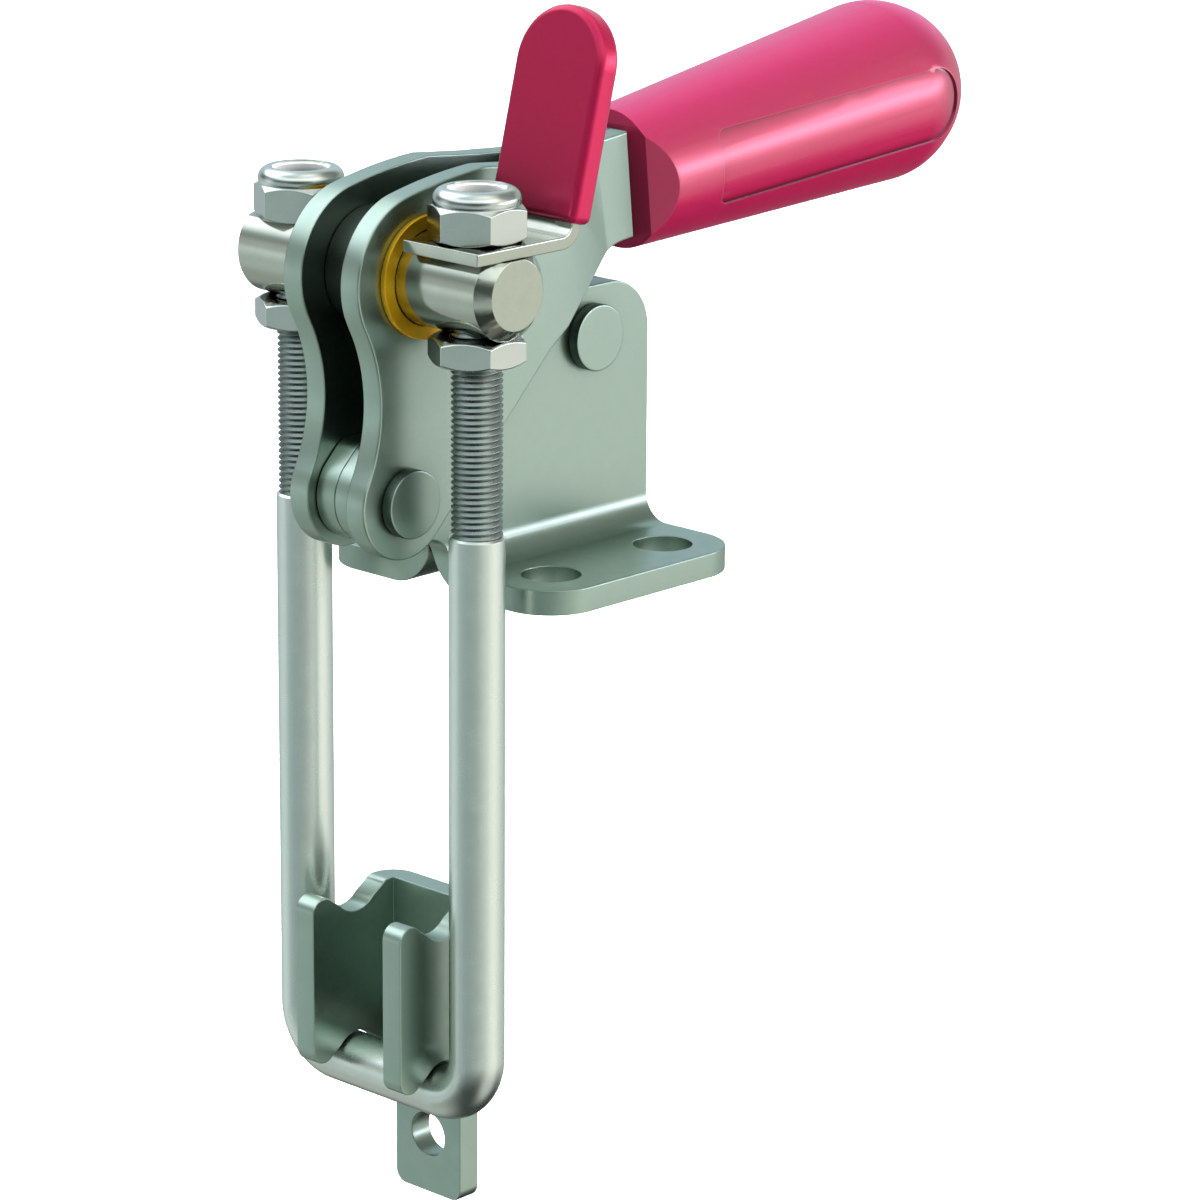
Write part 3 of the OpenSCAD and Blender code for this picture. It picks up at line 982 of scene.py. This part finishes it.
@dataclass
class ThumbCover:
    """The dipped cover of the thumb lever's blade.

    The front, low and high are measured from the base, before it leans with the blade. The lap
    is how far below the disc's middle the blade starts.
    """

    base: Point = (-15.8, -14.25, 46.2)
    lean: float = 14.3
    front: float = 0.625
    thickness: float = 3.25
    width: float = 13.5
    low: float = 0.2
    high: float = 24.27
    lap: float = 0.02
    rounding: float = 0.95

    def build(self) -> list[bpy.types.Object]:
        """Builds the cover from a disc whose lower half is drawn down into a blade.

        Returns:
            The finished piece in a list.
        """
        radius = self.width / 2
        centre = self.high - radius
        middle = self.front + self.thickness / 2
        bpy.ops.mesh.primitive_cylinder_add(
            vertices=72, radius=mm(radius), depth=mm(self.thickness),
            location=mm(middle, 0, centre), rotation=(0, math.pi / 2, 0))
        cover = bpy.context.object
        cover.name = "thumb_cover_dressed"
        settle(cover)
        cut_off(cover, centre - self.lap, above=False)
        pick_faces(cover, lambda face: abs(face.normal.z) > FACING and face.center.z < mm(centre))
        bpy.ops.mesh.extrude_region_move(
            TRANSFORM_OT_translate={"value": mm(0, 0, self.low - centre + self.lap)})
        leave_edit_mode()
        close_mesh(cover)
        round_edges(cover, self.rounding, segments=5, angle=50.0)
        cover.matrix_world = (Matrix.Translation(mm(*self.base))
                              @ Matrix.Rotation(math.radians(self.lean), 4, "Y"))
        settle(cover)
        smooth(cover, 40.0)
        paint(cover, Finish.VINYL)
        cover.visible_glossy = False
        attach(cover, "hook")
        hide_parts("thumb_cover")
        return [cover]


# ---------------------------------------------------------------- the studio


@dataclass
class Camera:
    """The photograph's viewpoint."""

    place: Point = (-411.575, -400.311, 158.088)
    azimuth: float = -46.611
    elevation: float = 15.812
    roll: float = 0.411
    lens: float = 150.293
    sensor: float = 36.0

    def build(self) -> None:
        """Makes the camera and sets it as the scene's."""
        azimuth, elevation, roll = map(math.radians, (self.azimuth, self.elevation, self.roll))
        level = math.cos(elevation)
        back = Vector((math.sin(azimuth) * level, -math.cos(azimuth) * level,
                       math.sin(elevation)))
        right = Vector((math.cos(azimuth), math.sin(azimuth), 0.0))
        up = back.cross(right)
        across = right * math.cos(roll) + up * math.sin(roll)
        upright = -right * math.sin(roll) + up * math.cos(roll)
        data = bpy.data.cameras.new("photo_view")
        data.lens = self.lens
        data.sensor_width = self.sensor
        data.clip_start = 0.01
        data.clip_end = 50.0
        camera = bpy.data.objects.new("photo_view", data)
        turn = Matrix((across, upright, back)).transposed().to_4x4()
        camera.matrix_world = Matrix.Translation(mm(*self.place)) @ turn
        bpy.context.scene.collection.objects.link(camera)
        bpy.context.scene.camera = camera


@dataclass(frozen=True)
class Panel:
    """A soft lamp that faces the clamp."""

    name: str
    place: Point
    size: tuple[float, float]
    power: float
    colour: Colour

    def build(self) -> None:
        """Makes the lamp, turned to the origin."""
        data = bpy.data.lights.new(self.name, "AREA")
        data.shape = "RECTANGLE"
        data.size, data.size_y = self.size
        data.energy = self.power
        data.color = self.colour
        lamp = bpy.data.objects.new(self.name, data)
        lamp.location = self.place
        lamp.rotation_euler = Vector(self.place).to_track_quat("Z", "Y").to_euler()
        lamp.visible_glossy = False
        bpy.context.scene.collection.objects.link(lamp)


@dataclass(frozen=True)
class Floor:
    """The pale floor, which keeps the clamp's shadow."""

    drop: float = 0.012
    size: float = 12.0
    colour: Colour = (0.90, 0.90, 0.90)
    roughness: float = 0.9
    brightening: float = 0.45

    def build(self) -> None:
        """Makes the floor below the clamp."""
        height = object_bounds()[0][2] - self.drop
        bpy.ops.mesh.primitive_plane_add(size=self.size, location=(0.0, 0.0, height))
        floor = bpy.context.object
        floor.name = "floor"
        floor.visible_glossy = False
        material = bpy.data.materials.new("pale_floor")
        material.use_nodes = True
        sketch = Sketch(material.node_tree)
        sketch.fill(material.node_tree.nodes["Principled BSDF"], {
            "Base Color": sketch.full(self.colour), "Roughness": self.roughness,
            "Specular IOR Level": 0.0, "Emission Color": sketch.full(WHITE),
            "Emission Strength": sketch.times(sketch.background_rays(), self.brightening)})
        floor.data.materials.append(material)
        floor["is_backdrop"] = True
        leave_edit_mode()


@dataclass(frozen=True)
class Outlook:
    """The tent's walls as the clamp sees them: the direction's socket and the two level axes."""

    sketch: Sketch
    facing: Socket
    right: Vector
    front: Vector


@dataclass(frozen=True)
class Patch:
    """A soft-edged round patch of the tent.

    Its middle and its edges are angles in degrees, seen from the clamp: around is 0 in front and
    90 to the right, and the patch fades from inner to outer. A flat above 1 squeezes its height.
    """

    around: float
    above: float
    outer: float
    inner: float
    flat: float = field(default=1.0, kw_only=True)

    def mask(self, outlook: Outlook) -> Socket:
        """Adds the patch's mask.

        Args:
            outlook: The tent's walls as the clamp sees them.

        Returns:
            The mask's socket, 1 in the middle of the patch.
        """
        sketch = outlook.sketch
        turn, rise = math.radians(self.around), math.radians(self.above)
        level = outlook.right * math.sin(turn) + outlook.front * math.cos(turn)
        middle = level * math.cos(rise) + Vector(UP) * math.sin(rise)
        up = Vector(UP) - middle * middle.z
        offset = sketch.add("ShaderNodeVectorMath", {0: outlook.facing, 1: middle},
                            operation="SUBTRACT").outputs[0]
        climb = sketch.dot(offset, up.normalized())
        squeezed = sketch.times(sketch.times(climb, climb), self.flat ** 2 - 1.0)
        gap = sketch.math("SQRT", sketch.math("ADD", sketch.dot(offset, offset), squeezed))
        inner, outer = (2 * math.sin(math.radians(v) / 2) for v in (self.inner, self.outer))
        return sketch.spread(gap, Step(inner, outer, 1.0, 0.0))


@dataclass(frozen=True)
class Glow(Patch):
    """A patch that shines."""

    colour: Colour

    def shine(self, outlook: Outlook) -> Socket:
        """Gives the patch's light as a colour socket."""
        return outlook.sketch.blend(self.mask(outlook), BLACK, self.colour)


@dataclass(frozen=True)
class Shadow(Patch):
    """A patch that is darker than the walls round it."""

    depth: float

    def dim(self, outlook: Outlook) -> Socket:
        """Gives the share of the walls' light that is left, as a number's socket."""
        sketch = outlook.sketch
        return sketch.math("SUBTRACT", 1.0, sketch.times(self.mask(outlook), self.depth))


@dataclass(frozen=True)
class Tent:
    """The pale tent that only glossy rays see, for the metal and the grip's coat to mirror.

    The walls' stops are angles round the clamp, as a patch's. The steps by height and to the
    left go by the share of the direction that points up or left, from -1 to 1.
    """

    radius: float = 4.0
    right: Point = (0.687, -0.727, 0.0)
    front: Point = (-0.727, -0.687, 0.0)
    left: Point = (-0.994, 0.115, 0.0)
    walls: tuple[tuple[float, Colour], ...] = (
        (-180.0, (0.37, 0.44, 0.43)), (-115.0, (0.37, 0.46, 0.47)), (-88.0, (0.36, 0.44, 0.44)),
        (-65.0, (0.34, 0.43, 0.42)), (-45.0, (0.31, 0.39, 0.39)), (-27.0, (0.32, 0.41, 0.39)),
        (-9.0, (0.45, 0.54, 0.50)), (9.0, (0.55, 0.63, 0.59)), (45.0, (0.60, 0.66, 0.60)),
        (68.0, (0.70, 0.74, 0.66)), (88.0, (0.76, 0.79, 0.71)), (115.0, (0.54, 0.60, 0.56)),
        (145.0, (0.39, 0.46, 0.43)), (180.0, (0.37, 0.44, 0.43)),
    )
    low_walls: Step = Step(-0.68, -0.31, 0.08, 1.0)
    high_walls: Step = Step(0.10, 0.45, 1.0, 1.1)
    gap: Shadow = Shadow(112.0, 38.0, 40.0, 17.0, 0.62)
    brow: Shadow = Shadow(0.0, 12.0, 40.0, 12.0, 0.60)
    rim_foot: Step = Step(-0.08, 0.08)
    rim_head: Step = Step(0.26, 0.42, 1.0, 0.0)
    rim_side: Step = Step(-0.10, 0.30)
    rim_depth: float = 0.62
    sky_foot: Step = Step(0.36, 0.50)
    sky_head: Step = Step(0.70, 0.88, 1.0, 0.0)
    sky_side: Step = Step(-0.55, -0.10)
    sky_colour: Colour = (0.62, 0.66, 0.70)
    glows: tuple[Glow, ...] = (
        Glow(90.0, 4.0, 39.0, 13.5, (3.2, 3.2, 3.9), flat=4.8),
        Glow(180.0, 18.0, 42.0, 14.0, (0.10, 0.15, 0.22)),
        Glow(-120.0, 50.0, 31.0, 17.0, (0.70, 0.74, 0.80)),
        Glow(0.0, 88.0, 40.0, 14.0, (0.30, 0.32, 0.34)),
        Glow(-115.0, -45.0, 42.0, 13.0, (0.34, 0.38, 0.35)),
        Glow(66.0, -46.0, 36.0, 13.0, (0.42, 0.45, 0.41)),
        Glow(-91.0, 1.0, 24.0, 5.0, (0.34, 0.36, 0.34)),
    )

    def build(self) -> None:
        """Makes the tent round the clamp."""
        bpy.ops.mesh.primitive_uv_sphere_add(segments=48, ring_count=24, radius=self.radius)
        tent = bpy.context.object
        tent.name = "tent"
        tent.visible_camera = tent.visible_diffuse = tent.visible_shadow = False
        tent.visible_transmission = False
        material = bpy.data.materials.new("tent_walls")
        material.use_nodes = True
        material.node_tree.nodes.clear()
        sketch = Sketch(material.node_tree)
        light = sketch.add("ShaderNodeEmission", {"Color": self.light(sketch), "Strength": 1.0})
        sketch.add("ShaderNodeOutputMaterial", {"Surface": light.outputs[0]})
        tent.data.materials.append(material)
        tent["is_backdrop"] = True
        leave_edit_mode()

    def light(self, sketch: Sketch) -> Socket:
        """Adds the walls' colour round the clamp, dimmed in places, with the sky and the glows.

        Args:
            sketch: The tent's sketch.

        Returns:
            The colour's socket.
        """
        place = sketch.add("ShaderNodeTexCoord").outputs["Object"]
        facing = sketch.add("ShaderNodeVectorMath", {0: place}, operation="NORMALIZE").outputs[0]
        outlook = Outlook(sketch, facing, Vector(self.right), Vector(self.front))
        angle = sketch.math("ARCTAN2", sketch.dot(facing, self.right),
                            sketch.dot(facing, self.front))
        share = sketch.math("ADD", sketch.math("DIVIDE", angle, math.tau), 0.5)
        walls = sketch.ramp(share, [(stop / 360.0 + 0.5, colour) for stop, colour in self.walls])
        height = sketch.dot(facing, UP)
        leftward = sketch.dot(facing, self.left)
        level = sketch.times(self.wall_light(outlook, height, leftward), self.brow.dim(outlook))
        colour = sketch.blend(1.0, walls, sketch.grey(level), "MULTIPLY")
        sky = sketch.times(sketch.spread(height, self.sky_foot),
                           sketch.spread(height, self.sky_head))
        sky = sketch.times(sky, sketch.spread(leftward, self.sky_side))
        colour = sketch.blend(1.0, colour, sketch.blend(sky, BLACK, self.sky_colour), "ADD")
        for glow in self.glows:
            colour = sketch.blend(1.0, colour, glow.shine(outlook), "ADD")
        return colour

    def wall_light(self, outlook: Outlook, height: Socket, leftward: Socket) -> Socket:
        """Adds the walls' level: darker low down, in the gap and along the left rim.

        Args:
            outlook: The tent's walls as the clamp sees them.
            height: The socket of the direction's upward share.
            leftward: The socket of its leftward share.

        Returns:
            The level's socket.
        """
        sketch = outlook.sketch
        rim = sketch.times(sketch.spread(height, self.rim_foot),
                           sketch.spread(height, self.rim_head))
        rim = sketch.times(rim, sketch.spread(leftward, self.rim_side))
        rim = sketch.math("SUBTRACT", 1.0, sketch.times(rim, self.rim_depth))
        upright = sketch.times(sketch.spread(height, self.low_walls),
                               sketch.spread(height, self.high_walls))
        return sketch.times(upright, sketch.times(self.gap.dim(outlook), rim))


@dataclass(frozen=True)
class Studio:
    """A plain pale floor, a pale tent, a pale world and soft lamps."""

    panels: tuple[Panel, ...] = (
        Panel("key", (0.75, -1.15, 0.40), (0.8, 0.8), 20.0, (1.0, 0.97, 0.93)),
        Panel("fill", (-1.3, 0.2, 0.5), (0.9, 0.9), 1.2, (0.9, 0.96, 1.0)),
        Panel("top", (0.2, 0.3, 1.4), (1.0, 1.0), 48.0, (0.95, 0.98, 1.0)),
    )
    world_light: Colour = (0.24, 0.27, 0.29)

    def build(self) -> None:
        """Makes the floor, tent, world, lamps and camera."""
        Floor().build()
        Tent().build()
        self.build_world()
        for panel in self.panels:
            panel.build()
        Camera().build()
        bpy.context.scene.view_settings.view_transform = "Standard"

    def build_world(self) -> None:
        """Makes the world: white where it is seen, and a cool grey where it lights."""
        world = bpy.data.worlds.new("studio_world")
        bpy.context.scene.world = world
        world.use_nodes = True
        world.node_tree.nodes.clear()
        sketch = Sketch(world.node_tree)
        colour = sketch.blend(sketch.background_rays(), self.world_light, WHITE)
        light = sketch.add("ShaderNodeBackground", {"Color": colour, "Strength": 1.0})
        sketch.add("ShaderNodeOutputWorld", {"Surface": light.outputs[0]})


# ---------------------------------------------------------------- the list

PARTS: tuple[RoundedParts | HookRod | ThumbCover, ...] = (
    RoundedParts("base", Finish.ZINC_PLATE, "zinc_plate", {
        "base_plate_near": 0.3, "base_plate_far": 0.3, "pivot_rivet": 0.25, "rear_rivet": 0.25}),
    RoundedParts("handle", Finish.ZINC_PLATE, "zinc_plate", {
        "handle_plate_near": 0.3, "handle_plate_far": 0.3}),
    RoundedParts("handle", Finish.GRIP_PLASTIC, "grip_plastic", {"grip": 0.3}, mirrored=False),
    RoundedParts("handle", Finish.BUSH_YELLOW, "bush_yellow", {
        "trunnion_bush_near": 0.12, "trunnion_bush_far": 0.12}),
    RoundedParts("hook", Finish.BRIGHT_ZINC, "bright_zinc", {
        "trunnion": 0.15, "thumb_lever": 0.2}),
    RoundedParts("hook", Finish.BRIGHT_NICKEL, "bright_zinc", {
        "lock_nut_near": 0.12, "lock_nut_far": 0.12, "jam_nut_near": 0.12, "jam_nut_far": 0.12}),
    RoundedParts("hook", Finish.DARK_STEEL, "dark_steel", {"trunnion_spacer": 0.1}),
    RoundedParts("hook", Finish.NYLON, "nylon", {"nut_insert_near": 0.1, "nut_insert_far": 0.1}),
    RoundedParts("hook", Finish.ZINC_PLATE, "zinc_plate", {"latch_plate": 0.3}),
    HookRod(),
    ThumbCover(),
)


def main() -> None:
    """Builds the clamp's pieces and the studio."""
    logging.basicConfig(level=logging.INFO, format="%(name)s %(message)s")
    bpy.ops.object.select_all(action="DESELECT")
    for part in PARTS:
        for piece in part.build():
            LOG.info("%s: %d faces", piece.name, len(piece.data.polygons))
    Studio().build()


if __name__ == "__main__":
    main()
